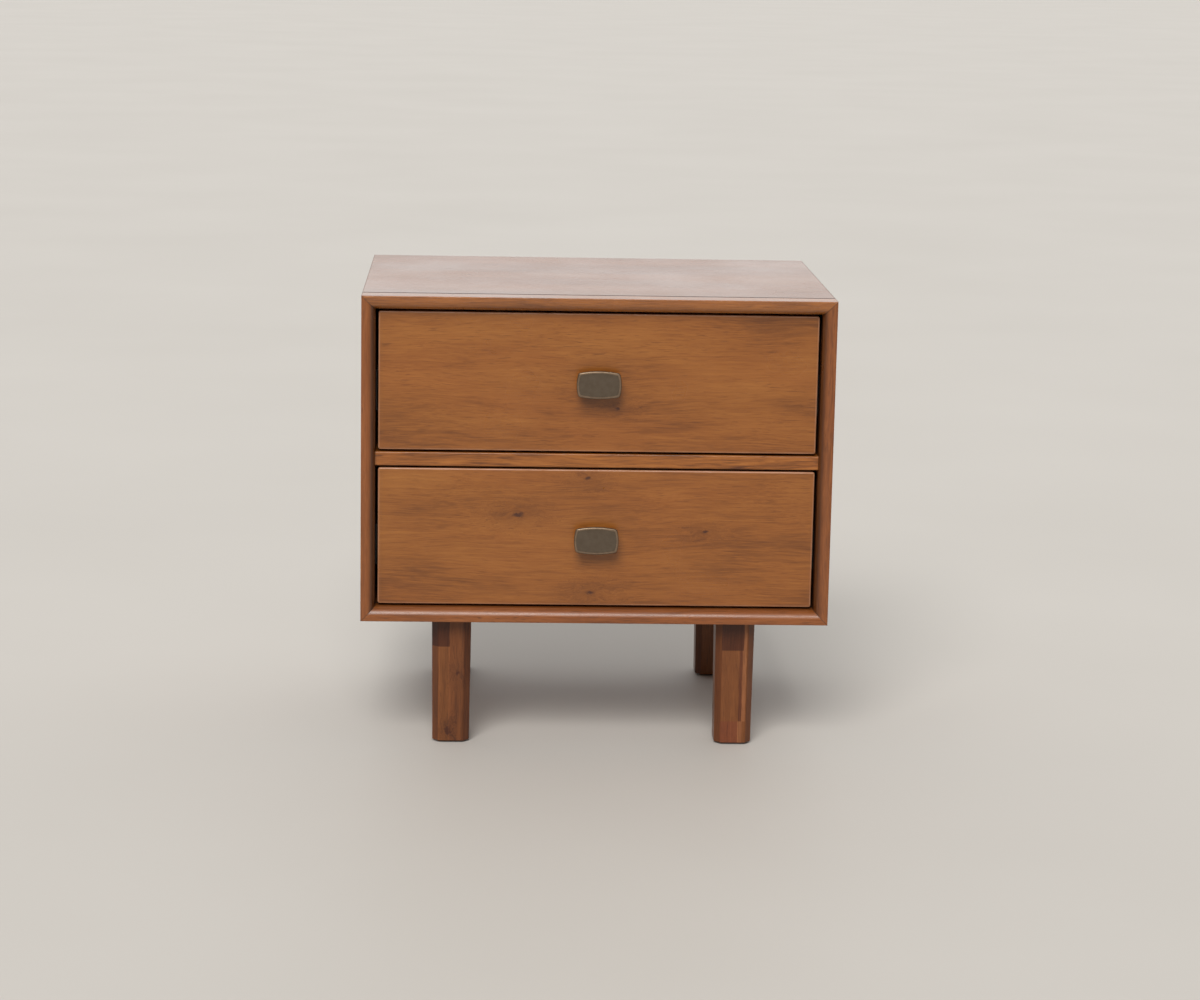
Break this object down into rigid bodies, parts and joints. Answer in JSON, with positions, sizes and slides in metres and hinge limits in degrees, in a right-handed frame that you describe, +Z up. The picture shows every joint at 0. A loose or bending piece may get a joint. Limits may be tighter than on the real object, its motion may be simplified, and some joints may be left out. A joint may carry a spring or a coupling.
{
  "type": "nightstand",
  "caption": "Low wooden nightstand: mitred case with rounded front lipping, inset drawers on ball-bearing slides, bronze barrel-shaped knobs and slightly tapered square legs.",
  "frame": {"origin": "on the floor, at the centre of the footprint with the knobs included", "axes": "+Z up, the front with the drawers faces -Y, +X to the right of someone facing the front"},
  "size_m": [0.508, 0.386, 0.496],
  "materials": {
    "case_wood": "satin lacquer over reddish brown veneer",
    "lipping_wood": "satin lacquer over solid wood",
    "drawer_front_wood": "satin lacquer over warm orange-brown wood, grain across",
    "divider_wood": "satin lacquer over solid wood",
    "leg_wood": "satin lacquer over glued wood staves",
    "drawer_box_wood": "clear lacquer over pale plywood",
    "thin_board": "plain thin plywood",
    "inner_wood": "unfinished hardwood",
    "knob_bronze": "darkened bronze, rubbed lighter on the rim",
    "slide_steel": "black electrocoat",
    "cage_steel": "plain pressed sheet",
    "ball_steel": "polished",
    "screw_steel": "zinc plate",
    "insert_brass": "machined",
    "glide_plastic": "matte dark plastic"
  },
  "bodies": {
    "case": {"back_panel": "thin_board", "back_panel_screws": "screw_steel", "bottom_front_lipping": "lipping_wood", "bottom_panel": "case_wood", "case_slide_screws": "screw_steel", "divider_dowels": "inner_wood", "divider_rail": "divider_wood", "foot_glides": "glide_plastic", "front_left_leg": "leg_wood", "front_right_leg": "leg_wood", "left_front_lipping": "lipping_wood", "left_side_panel": "case_wood", "leg_blocks": "inner_wood", "leg_hanger_bolts": "screw_steel", "leg_threaded_inserts": "insert_brass", "lower_left_slide_cabinet_member": "slide_steel", "lower_right_slide_cabinet_member": "slide_steel", "mitre_splines": "inner_wood", "rear_left_leg": "leg_wood", "rear_right_leg": "leg_wood", "right_front_lipping": "lipping_wood", "right_side_panel": "case_wood", "top_front_lipping": "lipping_wood", "top_panel": "case_wood", "upper_left_slide_cabinet_member": "slide_steel", "upper_right_slide_cabinet_member": "slide_steel"},
    "upper_drawer": {"upper_drawer_base": "thin_board", "upper_drawer_box_back": "drawer_box_wood", "upper_drawer_box_front": "drawer_box_wood", "upper_drawer_front": "drawer_front_wood", "upper_drawer_front_screws": "screw_steel", "upper_drawer_left_side": "drawer_box_wood", "upper_drawer_right_side": "drawer_box_wood", "upper_drawer_slide_screws": "screw_steel", "upper_knob": "knob_bronze", "upper_knob_screw": "screw_steel", "upper_left_slide_drawer_member": "slide_steel", "upper_right_slide_drawer_member": "slide_steel"},
    "upper_slide_middles": {"upper_slide_middle_members": "slide_steel"},
    "upper_outer_bearings": {"upper_outer_ball_cages": "cage_steel", "upper_outer_bearing_balls": "ball_steel"},
    "upper_inner_bearings": {"upper_inner_ball_cages": "cage_steel", "upper_inner_bearing_balls": "ball_steel"},
    "lower_drawer": {"lower_drawer_base": "thin_board", "lower_drawer_box_back": "drawer_box_wood", "lower_drawer_box_front": "drawer_box_wood", "lower_drawer_front": "drawer_front_wood", "lower_drawer_front_screws": "screw_steel", "lower_drawer_left_side": "drawer_box_wood", "lower_drawer_right_side": "drawer_box_wood", "lower_drawer_slide_screws": "screw_steel", "lower_knob": "knob_bronze", "lower_knob_screw": "screw_steel", "lower_left_slide_drawer_member": "slide_steel", "lower_right_slide_drawer_member": "slide_steel"},
    "lower_slide_middles": {"lower_slide_middle_members": "slide_steel"},
    "lower_outer_bearings": {"lower_outer_ball_cages": "cage_steel", "lower_outer_bearing_balls": "ball_steel"},
    "lower_inner_bearings": {"lower_inner_ball_cages": "cage_steel", "lower_inner_bearing_balls": "ball_steel"}
  },
  "joints": [
    {"name": "upper_drawer_slide", "type": "slide", "parent": "case", "child": "upper_drawer", "axis": [0, -1, 0], "range_m": [0, 0.3]},
    {"name": "upper_slide_middles_slide", "type": "slide", "parent": "case", "child": "upper_slide_middles", "axis": [0, -1, 0], "range_m": [0, 0.15]},
    {"name": "upper_outer_bearings_slide", "type": "slide", "parent": "case", "child": "upper_outer_bearings", "axis": [0, -1, 0], "range_m": [0, 0.075]},
    {"name": "upper_inner_bearings_slide", "type": "slide", "parent": "case", "child": "upper_inner_bearings", "axis": [0, -1, 0], "range_m": [0, 0.225]},
    {"name": "lower_drawer_slide", "type": "slide", "parent": "case", "child": "lower_drawer", "axis": [0, -1, 0], "range_m": [0, 0.3]},
    {"name": "lower_slide_middles_slide", "type": "slide", "parent": "case", "child": "lower_slide_middles", "axis": [0, -1, 0], "range_m": [0, 0.15]},
    {"name": "lower_outer_bearings_slide", "type": "slide", "parent": "case", "child": "lower_outer_bearings", "axis": [0, -1, 0], "range_m": [0, 0.075]},
    {"name": "lower_inner_bearings_slide", "type": "slide", "parent": "case", "child": "lower_inner_bearings", "axis": [0, -1, 0], "range_m": [0, 0.225]}
  ],
  "couplings": [
    {"joint": "upper_slide_middles_slide", "follows": "upper_drawer_slide", "ratio": 0.5},
    {"joint": "upper_outer_bearings_slide", "follows": "upper_drawer_slide", "ratio": 0.25},
    {"joint": "upper_inner_bearings_slide", "follows": "upper_drawer_slide", "ratio": 0.75},
    {"joint": "lower_slide_middles_slide", "follows": "lower_drawer_slide", "ratio": 0.5},
    {"joint": "lower_outer_bearings_slide", "follows": "lower_drawer_slide", "ratio": 0.25},
    {"joint": "lower_inner_bearings_slide", "follows": "lower_drawer_slide", "ratio": 0.75}
  ]
}
